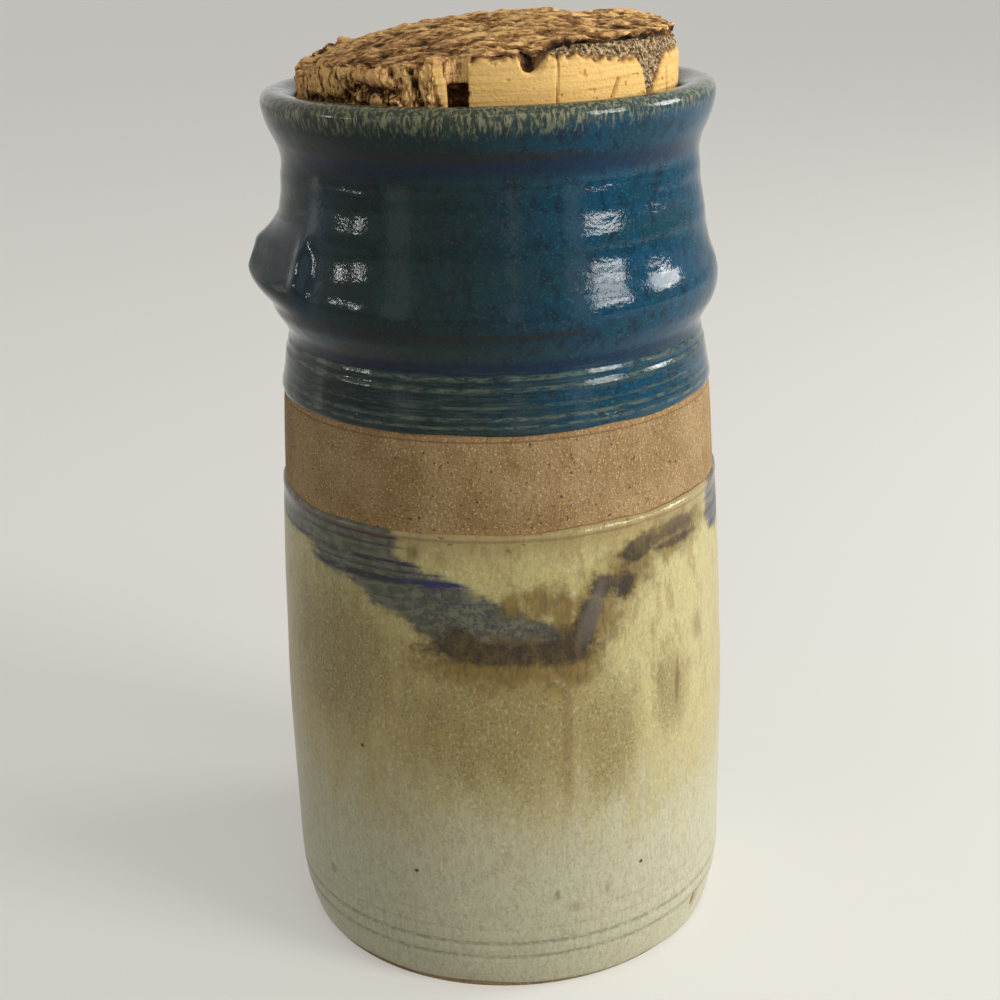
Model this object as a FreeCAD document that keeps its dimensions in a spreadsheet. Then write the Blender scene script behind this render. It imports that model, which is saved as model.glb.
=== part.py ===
"""Hand-thrown stoneware crock with a cork bark stopper, in millimetres.

The origin is on the crock's axis at the underside of its foot, with +Z up.
The thumb-pressed lug is towards -X. The crock is shut and is modelled solid
below its mouth, where the stopper's tapered plug sits.
"""
import FreeCAD, Part
import math
import os
import Sketcher

Vec = FreeCAD.Vector
doc = FreeCAD.newDocument("StonewareCrock")

# ---------------------------------------------------------------- sizes
# Every driving size, written once: name, value in mm (or degrees), meaning.
SIZES = [
    # the thrown wall, from the rim in and down: the rim's radius sets the
    # others, each by its difference from the one above it
    ("rim_radius", 60.0, "outer radius of the rim"),
    ("rim_width", 9.2, "rim's edge in to the mouth"),
    ("rim_overhang", 4.4, "rim's edge in to the narrowest of the neck"),
    ("neck_spread", 2.5, "how much the neck widens down to the roll"),
    ("roll_stand", 4.4, "roll's corner out from the neck's foot"),
    ("waist_depth", 6.0, "roll's corner in to the waist"),
    ("shoulder_spread", 2.5, "waist out to the shoulder line"),
    ("body_spread", 5.4, "shoulder line out to the widest of the body"),
    ("bevel_tuck", 0.3, "widest of the body in to the top of the bevel"),
    ("foot_tuck", 3.9, "top of the bevel in to the flat foot"),
    # heights of its stretches, from the foot up
    ("bevel_height", 13.0, "height of the bevel above the foot"),
    ("body_height", 67.0, "height of the nearly straight body"),
    ("taper_height", 82.0, "height of the narrowing upper body"),
    ("waist_rise", 15.5, "shoulder line up to the waist"),
    ("roll_rise", 10.5, "waist up to the roll's corner"),
    ("roll_fall", 15.0, "roll's corner up to the neck"),
    ("neck_height", 22.0, "height of the narrowing neck"),
    ("flare_height", 12.0, "height of the flare under the rim"),
    ("rim_thickness", 5.0, "height of the rim's edge"),
    ("mouth_depth", 14.0, "depth to which the stopper sits"),
    ("mouth_taper", 1.0, "radius lost over the mouth's depth"),
    # roundings of the thrown wall, from the foot up
    ("bevel_round", 14.0, "rounding at the top of the bevel"),
    ("body_round", 1000.0, "rounding where the body narrows"),
    ("waist_round", 3.0, "rounding in the waist"),
    ("roll_round", 13.0, "rounding of the roll"),
    ("neck_foot_round", 25.0, "rounding where the roll meets the neck"),
    ("neck_round", 6.0, "rounding in the neck under the flare"),
    ("lip_round", 3.0, "rounding under the rim's edge"),
    ("rim_round", 2.4, "rounding on top of the rim's edge"),
    ("mouth_round", 1.6, "rounding of the mouth's edge"),
    # the lug: a pad of clay pressed in with a thumb
    ("lug_angle", 196.0, "lug's bearing about the axis, in degrees"),
    ("lug_rise", 19.0, "waist up to the middle of the lug"),
    ("lug_stand", 9.9, "lug's outermost point out from the neck's foot"),
    ("lug_thickness", 17.0, "half the pad's thickness, outward"),
    ("lug_half_width", 15.5, "half the pad's width, round the wall"),
    ("lug_half_height", 14.5, "half the pad's height"),
    ("lug_blend", 3.5, "rounding where the pad meets the wall"),
    ("thumb_angle", 204.0, "thumb print's bearing, in degrees"),
    ("thumb_rise", 2.0, "lug's middle up to the middle of the thumb print"),
    ("thumb_depth", 4.4, "lug's outermost point in to the print's bottom"),
    ("thumb_half_width", 9.0, "half the thumb print's width"),
    ("thumb_half_height", 10.5, "half the thumb print's height"),
    # the stopper: a disc cut from a slab of cork bark
    ("stopper_gap", 0.3, "clearance of the plug in the mouth"),
    ("stopper_height", 17.5, "rim to the crest of the bark"),
    ("bark_dome_radius", 225.0, "curve of the bark's outer face"),
    ("bark_crest_x", 12.0, "crest's offset from the axis"),
    ("bark_crest_y", 8.0, "crest's offset from the axis"),
    ("bark_fall_reach", 39.0, "axis to where the bark falls away"),
    ("bark_fall_height", 11.6, "rim to the start of the fall"),
    ("bark_fall_angle", 36.0, "slope of the fall, in degrees"),
    ("fissure_angle", 261.5, "bearing of the fissure, in degrees"),
    ("fissure_width", 4.4, "width of the fissure"),
    ("fissure_height", 11.0, "height of the fissure"),
    ("fissure_depth", 6.5, "depth of the fissure into the edge"),
    ("fissure_lift", 0.4, "rim to the bottom of the fissure"),
]

sheet = doc.addObject("Spreadsheet::Sheet", "Sizes")
for row, (alias, value, meaning) in enumerate(SIZES, start=1):
    sheet.set("A%d" % row, alias)
    sheet.set("B%d" % row, str(value))
    sheet.set("C%d" % row, meaning)
    sheet.setAlias("B%d" % row, alias)
doc.recompute()

size = {alias: value for alias, value, meaning in SIZES}

# Radii and heights that follow from the sizes, as expressions of the sheet.
NECK_R = "Sizes.rim_radius - Sizes.rim_overhang"
NECK_FOOT_R = NECK_R + " + Sizes.neck_spread"
ROLL_R = NECK_FOOT_R + " + Sizes.roll_stand"
WAIST_R = ROLL_R + " - Sizes.waist_depth"
SHOULDER_R = WAIST_R + " + Sizes.shoulder_spread"
BODY_R = SHOULDER_R + " + Sizes.body_spread"
BEVEL_R = BODY_R + " - Sizes.bevel_tuck"
FOOT_R = BEVEL_R + " - Sizes.foot_tuck"
MOUTH_R = "Sizes.rim_radius - Sizes.rim_width"
SEAT_R = MOUTH_R + " - Sizes.mouth_taper"
LUG_R = NECK_FOOT_R + " + Sizes.lug_stand"

BODY_Z = "Sizes.bevel_height + Sizes.body_height"
SHOULDER_Z = BODY_Z + " + Sizes.taper_height"
WAIST_Z = SHOULDER_Z + " + Sizes.waist_rise"
ROLL_Z = WAIST_Z + " + Sizes.roll_rise"
NECK_FOOT_Z = ROLL_Z + " + Sizes.roll_fall"
NECK_Z = NECK_FOOT_Z + " + Sizes.neck_height"
FLARE_Z = NECK_Z + " + Sizes.flare_height"
RIM_Z = FLARE_Z + " + Sizes.rim_thickness"
SEAT_Z = RIM_Z + " - Sizes.mouth_depth"
LUG_Z = WAIST_Z + " + Sizes.lug_rise"


def value_of(expression):
    """Value of an expression of the sheet, for a sketch's starting geometry."""
    return float(sheet.evalExpression(expression))


# ------------------------------------------------------- sketch helpers
def profile_sketch(body, name):
    """Empty sketch on the body's own XZ plane: sketch x is X, sketch y is Z."""
    plane = [f for f in body.Origin.OriginFeatures if f.Role == "XZ_Plane"][0]
    sketch = body.newObject("Sketcher::SketchObject", name)
    sketch.AttachmentSupport = [(plane, "")]
    sketch.MapMode = "FlatFace"
    return sketch


def draw_outline(sketch, corners):
    """Closed outline of straight lines, its corners (x, y, rounding).

    Each is an expression of the sheet, or None for a sharp corner. A corner
    is held by its distances from the origin; a rounded one stays as a
    construction point where its two lines would meet.
    """
    spots = [Vec(value_of(x), value_of(y), 0) for x, y, rounding in corners]
    count = len(corners)

    def way(i):
        return (spots[(i + 1) % count] - spots[i % count]).normalize()

    # how far each rounding reaches along its two lines
    reach = []
    for i, (x, y, rounding) in enumerate(corners):
        turn = way(i - 1).getAngle(way(i))
        reach.append(value_of(rounding) * math.tan(turn / 2) if rounding else 0.0)

    for i in range(count):
        start = spots[i] + way(i) * reach[i]
        end = spots[(i + 1) % count] - way(i) * reach[(i + 1) % count]
        sketch.addGeometry(Part.LineSegment(start, end), False)

    for i, (x, y, rounding) in enumerate(corners):
        before, corner = (i - 1) % count, i
        if rounding is None:
            sketch.addConstraint(
                Sketcher.Constraint("Coincident", before, 2, corner, 1))
            held = (corner, 1)
        else:
            radius = value_of(rounding)
            first = spots[i] - way(i - 1) * reach[i]
            last = spots[i] + way(i) * reach[i]
            inward = (way(i) - way(i - 1)).normalize()
            distance = math.hypot(radius, reach[i])
            middle = spots[i] + inward * (distance - radius)
            arc = sketch.addGeometry(Part.Arc(first, middle, last), False)
            # an arc's ends swap where the outline turns to the right
            left_turn = way(i - 1).cross(way(i)).z > 0
            one, two = (1, 2) if left_turn else (2, 1)
            sketch.addConstraint(
                Sketcher.Constraint("Tangent", before, 2, arc, one))
            sketch.addConstraint(
                Sketcher.Constraint("Tangent", arc, two, corner, 1))
            bend = sketch.addConstraint(
                Sketcher.Constraint("Radius", arc, radius))
            sketch.setExpression("Constraints[%d]" % bend, rounding)
            point = sketch.addGeometry(Part.Point(spots[i]), True)
            for line in (before, corner):
                sketch.addConstraint(
                    Sketcher.Constraint("PointOnObject", point, 1, line))
            held = (point, 1)
        for kind, axis, expression in (("DistanceX", -2, x), ("DistanceY", -1, y)):
            if expression == "0":
                sketch.addConstraint(
                    Sketcher.Constraint("PointOnObject", *held, axis))
            else:
                span = sketch.addConstraint(Sketcher.Constraint(
                    kind, -1, 1, *held, value_of(expression)))
                sketch.setExpression("Constraints[%d]" % span, expression)


def revolve(body, sketch):
    """Full turn of the sketch about its own vertical axis."""
    turn = body.newObject("PartDesign::Revolution", sketch.Name + "_turn")
    turn.Profile = sketch
    turn.ReferenceAxis = (sketch, ["V_Axis"])
    turn.Angle = 360
    doc.recompute()
    return turn


# ------------------------------------------------------- the thrown crock
thrown = doc.addObject("PartDesign::Body", "Thrown")
wall = profile_sketch(thrown, "Wall")
draw_outline(wall, [
    ("0", "0", None),
    (FOOT_R, "0", None),
    (BEVEL_R, "Sizes.bevel_height", "Sizes.bevel_round"),
    (BODY_R, BODY_Z, "Sizes.body_round"),
    (SHOULDER_R, SHOULDER_Z, None),
    (WAIST_R, WAIST_Z, "Sizes.waist_round"),
    (ROLL_R, ROLL_Z, "Sizes.roll_round"),
    (NECK_FOOT_R, NECK_FOOT_Z, "Sizes.neck_foot_round"),
    (NECK_R, NECK_Z, "Sizes.neck_round"),
    ("Sizes.rim_radius", FLARE_Z, "Sizes.lip_round"),
    ("Sizes.rim_radius", RIM_Z, "Sizes.rim_round"),
    (MOUTH_R, RIM_Z, "Sizes.mouth_round"),
    (SEAT_R, SEAT_Z, None),
    ("0", SEAT_Z, None),
])
revolve(thrown, wall)


# ------------------------------------------------------- the lug
def bearing_spot(item, angle, reach, height):
    """Place an object at a bearing, distance and height, facing outward."""
    item.setExpression("Placement.Base.x", "(%s) * cos(%s * 1 deg)" % (reach, angle))
    item.setExpression("Placement.Base.y", "(%s) * sin(%s * 1 deg)" % (reach, angle))
    item.setExpression("Placement.Base.z", height)
    item.setExpression("Placement.Rotation.Angle", "%s * 1 deg" % angle)


def ellipsoid(name, outward, sideways, upright):
    """Full ellipsoid with its half sizes bound to the sheet."""
    item = doc.addObject("Part::Ellipsoid", name)
    item.Angle1, item.Angle2, item.Angle3 = -90, 90, 360
    item.setExpression("Radius1", upright)
    item.setExpression("Radius2", outward)
    item.setExpression("Radius3", sideways)
    return item


pad = ellipsoid("LugPad", "Sizes.lug_thickness", "Sizes.lug_half_width",
                "Sizes.lug_half_height")
bearing_spot(pad, "Sizes.lug_angle", LUG_R + " - Sizes.lug_thickness", LUG_Z)

# The thumb print is an ellipsoid as thick as it is wide, pushed in from outside.
thumb = ellipsoid("ThumbPrint", "Sizes.thumb_half_width",
                  "Sizes.thumb_half_width", "Sizes.thumb_half_height")
bearing_spot(thumb, "Sizes.thumb_angle",
             LUG_R + " - Sizes.thumb_depth + Sizes.thumb_half_width",
             LUG_Z + " + Sizes.thumb_rise")

thrown_and_pad = doc.addObject("Part::Fuse", "ThrownAndPad")
thrown_and_pad.Base = thrown
thrown_and_pad.Tool = pad

doc.recompute()

# The pad is smoothed into the wall along the edges where they meet: those that
# a face of the pad, which is the only free-form one, shares with the wall.
joined = thrown_and_pad.Shape
pad_faces, wall_faces = [], []
for face in joined.Faces:
    free_form = isinstance(face.Surface, Part.BSplineSurface)
    (pad_faces if free_form else wall_faces).append(face)


def touches(edge, faces):
    """Whether the edge bounds one of the faces."""
    return any(edge.isSame(other) for face in faces for other in face.Edges)


blend = doc.addObject("Part::Fillet", "LugBlend")
blend.Base = thrown_and_pad
blend.Edges = [
    (number, size["lug_blend"], size["lug_blend"])
    for number, edge in enumerate(joined.Edges, start=1)
    if touches(edge, pad_faces) and touches(edge, wall_faces)]

crock = doc.addObject("Part::Cut", "Crock")
crock.Label = "crock"
crock.Base = blend
crock.Tool = thumb

# ------------------------------------------------------- the cork stopper
# A tapered plug in the mouth, with the straight cut edge of the slab above.
blank = doc.addObject("PartDesign::Body", "StopperBlank")
disc = profile_sketch(blank, "Disc")
PLUG_R = MOUTH_R + " - Sizes.stopper_gap"
PLUG_FOOT_R = SEAT_R + " - Sizes.stopper_gap"
SLAB_TOP = RIM_Z + " + Sizes.stopper_height + 1"
draw_outline(disc, [
    ("0", SEAT_Z, None),
    (PLUG_FOOT_R, SEAT_Z, None),
    (PLUG_R, RIM_Z, None),
    (PLUG_R, SLAB_TOP, None),
    ("0", SLAB_TOP, None),
])
revolve(blank, disc)

# The bark's outer face is a shallow dome, with its crest off the axis.
dome = doc.addObject("Part::Sphere", "BarkDome")
dome.setExpression("Radius", "Sizes.bark_dome_radius")
dome.setExpression("Placement.Base.x", "Sizes.bark_crest_x")
dome.setExpression("Placement.Base.y", "Sizes.bark_crest_y")
dome.setExpression("Placement.Base.z",
                   RIM_Z + " + Sizes.stopper_height - Sizes.bark_dome_radius")
domed = doc.addObject("Part::Common", "DomedSlab")
domed.Base = blank
domed.Tool = dome

# Towards the lug, the bark falls away to a thin edge: a box that is tilted
# about its start takes off what lies above.
fall = doc.addObject("Part::Box", "BarkFall")
fall.Placement.Rotation = FreeCAD.Rotation(Vec(0, -1, 0), 1)
fall.setExpression("Length", "Sizes.rim_radius * 2")
fall.setExpression("Width", "Sizes.rim_radius * 2")
fall.setExpression("Height", "Sizes.rim_radius")
fall.setExpression("Placement.Base.x", "-Sizes.bark_fall_reach"
                   " - Sizes.rim_radius * cos(Sizes.bark_fall_angle * 1 deg)")
fall.setExpression("Placement.Base.y", "-Sizes.rim_radius")
fall.setExpression("Placement.Base.z", RIM_Z + " + Sizes.bark_fall_height"
                   " - Sizes.rim_radius * sin(Sizes.bark_fall_angle * 1 deg)")
fall.setExpression("Placement.Rotation.Angle", "Sizes.bark_fall_angle * 1 deg")
falling = doc.addObject("Part::Cut", "FallingSlab")
falling.Base = domed
falling.Tool = fall

# A natural fissure opens the slab's cut edge, from just above the rim up: a
# round hole at its inner end, as wide as the fissure.
fissure = doc.addObject("Part::Ellipsoid", "Fissure")
fissure.Angle1, fissure.Angle2, fissure.Angle3 = -90, 90, 360
fissure.setExpression("Radius1", "Sizes.fissure_height / 2")
fissure.setExpression("Radius2", "Sizes.fissure_depth")
fissure.setExpression("Radius3", "Sizes.fissure_width / 2")
bearing_spot(fissure, "Sizes.fissure_angle", PLUG_R,
             RIM_Z + " + Sizes.fissure_lift + Sizes.fissure_height / 2")

stopper = doc.addObject("Part::Cut", "CorkStopper")
stopper.Label = "cork_stopper"
stopper.Base = falling
stopper.Tool = fissure

# ------------------------------------------------------- check and write
doc.recompute()
for item in doc.Objects:
    if "Invalid" in item.State or "Error" in item.State:
        raise RuntimeError("%s failed: %s" % (item.Name, item.State))

os.makedirs("parts", exist_ok=True)
for piece in (crock, stopper):
    shape = piece.Shape
    if shape.isNull() or not shape.isValid() or len(shape.Solids) != 1:
        raise RuntimeError("%s is not one valid solid" % piece.Label)
    shape.exportStep("parts/%s.step" % piece.Label)
    box = shape.optimalBoundingBox()
    print("%-14s volume %.0f mm3, X %.2f..%.2f, Y %.2f..%.2f, Z %.2f..%.2f" % (
        piece.Label, shape.Volume, box.XMin, box.XMax, box.YMin, box.YMax,
        box.ZMin, box.ZMax))
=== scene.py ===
"""Stoneware storage crock with a cork bark stopper, in metres.

The origin is under the middle of the foot, with +Z up and the lug towards -X.
"""

import math

import bpy
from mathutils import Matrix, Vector, noise


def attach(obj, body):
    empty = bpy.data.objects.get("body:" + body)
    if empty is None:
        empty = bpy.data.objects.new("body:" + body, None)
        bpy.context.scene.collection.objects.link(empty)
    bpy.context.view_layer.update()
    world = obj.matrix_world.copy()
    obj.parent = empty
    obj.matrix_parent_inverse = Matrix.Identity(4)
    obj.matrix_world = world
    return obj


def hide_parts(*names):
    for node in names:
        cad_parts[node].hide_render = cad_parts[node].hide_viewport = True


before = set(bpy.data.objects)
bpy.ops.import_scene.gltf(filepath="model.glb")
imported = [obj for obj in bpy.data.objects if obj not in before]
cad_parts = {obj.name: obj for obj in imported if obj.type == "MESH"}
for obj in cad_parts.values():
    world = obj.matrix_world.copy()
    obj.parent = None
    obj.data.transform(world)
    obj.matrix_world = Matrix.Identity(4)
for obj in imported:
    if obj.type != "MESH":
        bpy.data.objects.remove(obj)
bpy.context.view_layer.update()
MM = 0.001

# ---------------------------------------------------------------- camera
# Held low and close in front of the crock, tipped down and a little sideways.
CAMERA_PLACE = (0.0, -450.7 * MM, 290.4 * MM)
CAMERA_DOWN, CAMERA_TIP = 20.32, -1.70
CAMERA_LENS = 59.72

bpy.ops.object.camera_add(location=CAMERA_PLACE)
camera = bpy.context.object
camera.name = "camera"
camera.rotation_mode = "ZYX"
camera.rotation_euler = (math.radians(90 - CAMERA_DOWN), 0,
                         math.radians(CAMERA_TIP))
camera.data.lens = CAMERA_LENS
camera.data.clip_start = 0.01
bpy.context.scene.camera = camera
bpy.context.scene.view_settings.view_transform = "Standard"

# ---------------------------------------------------------- floor and light
# A plain pale floor under an even white room. Daylight comes through windows
# on the right and falls off towards the left; their panes show in the glazes.
FLOOR_SIZE, FLOOR_ROUGHNESS = 24, 0.7
FLOOR_COLOUR = (0.56, 0.55, 0.52, 1)
PALE_FLOOR, PALE_LIFT = (0.74, 0.725, 0.68, 1), 0.40
ROOM_COLOUR, ROOM_LEVEL = (1.0, 0.985, 0.95, 1), 0.27
PALE_ROOM = (0.76, 0.76, 0.75, 1)


def light_path(tree):
    """1 for what the camera sees, also in a gloss or through glass."""
    path = tree.nodes.new("ShaderNodeLightPath").outputs
    total = path["Is Camera Ray"]
    for name in ("Is Glossy Ray", "Is Transmission Ray"):
        add = tree.nodes.new("ShaderNodeMath")
        add.operation = "MAXIMUM"
        tree.links.new(total, add.inputs[0])
        tree.links.new(path[name], add.inputs[1])
        total = add.outputs[0]
    return total


bpy.ops.mesh.primitive_plane_add(size=FLOOR_SIZE, location=(0, 0, 0))
floor = bpy.context.object
floor.name = "floor"
floor_finish = bpy.data.materials.new("floor_white")
floor_finish.use_nodes = True
floor_tree = floor_finish.node_tree
floor_shader = floor_tree.nodes["Principled BSDF"]
floor_shader.inputs["Base Color"].default_value = FLOOR_COLOUR
floor_shader.inputs["Roughness"].default_value = FLOOR_ROUGHNESS
floor_shader.inputs["Emission Color"].default_value = PALE_FLOOR
floor_lift = floor_tree.nodes.new("ShaderNodeMath")
floor_lift.operation = "MULTIPLY"
floor_lift.inputs[1].default_value = PALE_LIFT
floor_tree.links.new(light_path(floor_tree), floor_lift.inputs[0])
floor_tree.links.new(floor_lift.outputs[0],
                     floor_shader.inputs["Emission Strength"])
floor.data.materials.append(floor_finish)

room = bpy.data.worlds.new("room")
room.use_nodes = True
room_light = room.node_tree.nodes["Background"]
room_light.inputs["Color"].default_value = ROOM_COLOUR
room_light.inputs["Strength"].default_value = ROOM_LEVEL
room_pale = room.node_tree.nodes.new("ShaderNodeBackground")
room_pale.inputs["Color"].default_value = PALE_ROOM
room_mix = room.node_tree.nodes.new("ShaderNodeMixShader")
room_links = room.node_tree.links
room_links.new(light_path(room.node_tree), room_mix.inputs[0])
room_links.new(room_light.outputs[0], room_mix.inputs[1])
room_links.new(room_pale.outputs[0], room_mix.inputs[2])
room_links.new(room_mix.outputs[0],
               room.node_tree.nodes["World Output"].inputs["Surface"])
bpy.context.scene.world = room


def hang_light(name, bearing, rise, distance, width, height, power, colour):
    """Window-shaped lamp facing the crock's neck, bearing from the front."""
    aim = Vector((0, 0, 0.17))
    around, up = math.radians(bearing), math.radians(rise)
    way = Vector((math.sin(around) * math.cos(up),
                  -math.cos(around) * math.cos(up), math.sin(up)))
    bpy.ops.object.light_add(type="AREA", location=aim + way * distance)
    lamp = bpy.context.object
    lamp.name = name
    lamp.rotation_euler = way.to_track_quat("Z", "Y").to_euler()
    lamp.data.shape = "RECTANGLE"
    lamp.data.size, lamp.data.size_y = width, height
    lamp.data.energy = power
    lamp.data.color = colour


DAYLIGHT = (1.0, 0.985, 0.955)
hang_light("window_lower", 60, 10.5, 1.6, 0.54, 0.18, 8.0, DAYLIGHT)
hang_light("window_upper", 60, 21.5, 1.6, 0.54, 0.30, 8.6, DAYLIGHT)
hang_light("far_window", 97, 16, 1.6, 0.60, 0.40, 12.5, DAYLIGHT)
hang_light("far_pane", 97, 9, 1.6, 0.12, 0.14, 1.2, DAYLIGHT)
hang_light("ceiling_light", 30, 44, 1.9, 1.6, 0.30, 4.4, DAYLIGHT)
hang_light("lamp_left", -73, 8.5, 1.8, 0.14, 0.075, 1.2, DAYLIGHT)
hang_light("lamp_far_left", -84, 8.5, 1.8, 0.12, 0.075, 1.1, DAYLIGHT)
# dim door frames and shelves, seen only as upright bands in the glaze
hang_light("post_left", -49, 8, 1.9, 0.46, 1.5, 1.3, (0.95, 1.0, 0.93))
hang_light("post_far_left", -106, 8, 1.9, 0.30, 0.9, 0.7, (1.0, 0.92, 0.82))
hang_light("post_front", 10, 8, 1.9, 0.12, 1.5, 0.6, (1.0, 0.95, 0.95))
hang_light("post_right", 43, 8, 1.9, 0.34, 1.5, 1.6, (1.0, 0.97, 0.92))

# ---------------------------------------------------------------- stoneware
# The pot itself: tan speckled stoneware thrown on a wheel, bare in a band
# round the shoulder and on the foot, and under glaze everywhere else.
# points round the wall; the radius that distances round it are counted at
ROUND, WALL_RADIUS = 320, 61
CLAY_LINE = [
    (60.2, 0.0), (60.6, 1.2), (61.6, 5.0), (62.6, 9.0), (63.2, 13.0),
    (63.4, 20.0), (63.6, 50.0), (63.5, 72.0), (62.8, 92.0), (62.2, 108.0),
    (61.5, 122.0), (60.9, 134.0), (60.3, 147.0), (59.75, 156.0),
    (59.45, 159.9), (59.1, 160.5), (59.3, 161.1), (58.9, 162.6),
    (57.9, 168.0), (56.7, 174.0), (56.0, 177.0), (56.4, 180.0), (58.2, 183.0),
    (59.8, 186.0), (60.5, 190.5), (59.8, 195.0), (58.3, 199.0), (57.1, 204.0),
    (56.4, 210.0), (55.3, 219.0), (55.0, 225.0), (55.7, 228.0), (57.0, 231.0),
    (58.2, 234.0), (59.1, 237.5), (59.2, 239.5), (58.4, 240.8), (56.5, 241.2),
    (53.0, 240.8), (51.7, 239.7), (51.1, 237.5), (50.8, 233.0), (50.6, 228.3)]


def smooth_line(points, step):
    """Even curve through the (radius, height) points, about step apart."""
    line = []
    for i in range(len(points) - 1):
        before = Vector(points[max(i - 1, 0)])
        start, end = Vector(points[i]), Vector(points[i + 1])
        after = Vector(points[min(i + 2, len(points) - 1)])
        stretch = (end - start).length
        # leads scaled to this stretch, so that uneven spacing stays smooth
        lead = (end - before).normalized() * stretch
        trail = (after - start).normalized() * stretch
        steps = max(1, round(stretch / step))
        for k in range(steps):
            f = k / steps
            line.append(start * (2 * f ** 3 - 3 * f ** 2 + 1)
                        + lead * (f ** 3 - 2 * f ** 2 + f)
                        + end * (3 * f ** 2 - 2 * f ** 3)
                        + trail * (f ** 3 - f ** 2))
    return line + [Vector(points[-1])]


def throw(name, line):
    """Open wall raised ring by ring from the wheel, along the line in mm."""
    bpy.ops.object.select_all(action="DESELECT")
    bpy.ops.mesh.primitive_circle_add(
        vertices=ROUND, radius=line[0][0] * MM, location=(0, 0, 0))
    piece = bpy.context.object
    piece.name = name
    bpy.ops.object.mode_set(mode="EDIT")
    bpy.ops.transform.translate(value=(0, 0, line[0][1] * MM))
    for last, here in zip(line, line[1:]):
        bpy.ops.mesh.extrude_edges_move(TRANSFORM_OT_translate={
            "value": (0, 0, (here[1] - last[1]) * MM)})
        k = here[0] / last[0]
        bpy.ops.transform.resize(value=(k, k, 1))
    return piece


def face_out(piece):
    bpy.ops.mesh.select_all(action="SELECT")
    bpy.ops.mesh.normals_make_consistent(inside=False)
    bpy.ops.object.mode_set(mode="OBJECT")


def press(piece, name, stand, most, direction="NORMAL"):
    """Move the surface by stand(x, y, z), all in mm; most is the furthest."""
    group = piece.vertex_groups.new(name=name)
    for vertex in piece.data.vertices:
        share = stand(*(vertex.co / MM)) / most
        if share > 0:
            group.add([vertex.index], min(share, 1.0), "REPLACE")
    push = piece.modifiers.new(name, "DISPLACE")
    push.strength, push.mid_level = most * MM, 0.0
    push.direction, push.vertex_group = direction, name
    bpy.ops.object.modifier_apply(modifier=name)


def bearing_of(x, y):
    """Bearing in degrees from the front, + to the right."""
    return math.degrees(math.atan2(x, -y))


def ease(value, start, end):
    """0 at start and 1 at end, smoothly."""
    f = min(1.0, max(0.0, (value - start) / (end - start)))
    return f * f * (3 - 2 * f)


# The lug: a pad pressed on at the side of the roll. A thumb has pressed its
# face flat and a little hollow, which leaves a lip under it and a low ridge
# on its right. Bearings in degrees, the rest in mm.
LUG_OUT, LUG_BACK, LUG_CREST, LUG_END = 6.05, -104, -81, -50
LUG_BOTTOM, LUG_FULL, LUG_SHOULDER, LUG_TOP = 187.0, 195.5, 201.5, 211.0
LIP_LOW, LIP_HIGH = 192.0, 197.0
HOLLOW_BEARING, HOLLOW_HEIGHT, HOLLOW_DEPTH = -70, 202.5, 1.3
HOLLOW_ACROSS, HOLLOW_UP = 14, 9
RIDGE_BEARING, RIDGE_OUT, RIDGE_ACROSS = -55, 1.5, 2.6
LUG_MOST, CLAY_SHARE = 10, 0.9
MOUTH_SIDE = 53


def lug_stand(x, y, z):
    """How far the lug stands off the wall."""
    bearing = bearing_of(x, y)
    if not LUG_BACK < bearing < LUG_END + 4 or math.hypot(x, y) < MOUTH_SIDE:
        return 0.0
    rise = ease(z, LUG_BOTTOM, LUG_FULL) * (
        1 - ease(z, LUG_SHOULDER, LUG_TOP))
    round_back = ease(bearing, LUG_BACK, LUG_CREST)
    along = max(0.0, (bearing - LUG_CREST) / (LUG_END - LUG_CREST))
    foot = LUG_OUT * max(0.0, 1 - along ** 2)
    hollow = max(0.0, 1 - ((bearing - HOLLOW_BEARING) / HOLLOW_ACROSS) ** 2
                 - ((z - HOLLOW_HEIGHT) / HOLLOW_UP) ** 2)
    ridge = math.exp(-((bearing - RIDGE_BEARING) / RIDGE_ACROSS) ** 2)
    face = (LUG_OUT * max(0.0, 1 - along) - HOLLOW_DEPTH * hollow
            + RIDGE_OUT * ridge)
    lip = ease(z, LIP_LOW, LIP_HIGH)
    return rise * round_back * ((1 - lip) * foot + lip * max(0.0, face))


clay = throw("stoneware", smooth_line(CLAY_LINE, 1.8))
bpy.ops.mesh.edge_face_add()
bpy.ops.mesh.select_all(action="DESELECT")
bpy.ops.mesh.select_non_manifold()
bpy.ops.mesh.edge_face_add()
face_out(clay)
press(clay, "lug_pad", lambda x, y, z: CLAY_SHARE * lug_stand(x, y, z),
      LUG_MOST)
bpy.ops.object.shade_smooth_by_angle(angle=math.radians(40))


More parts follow.
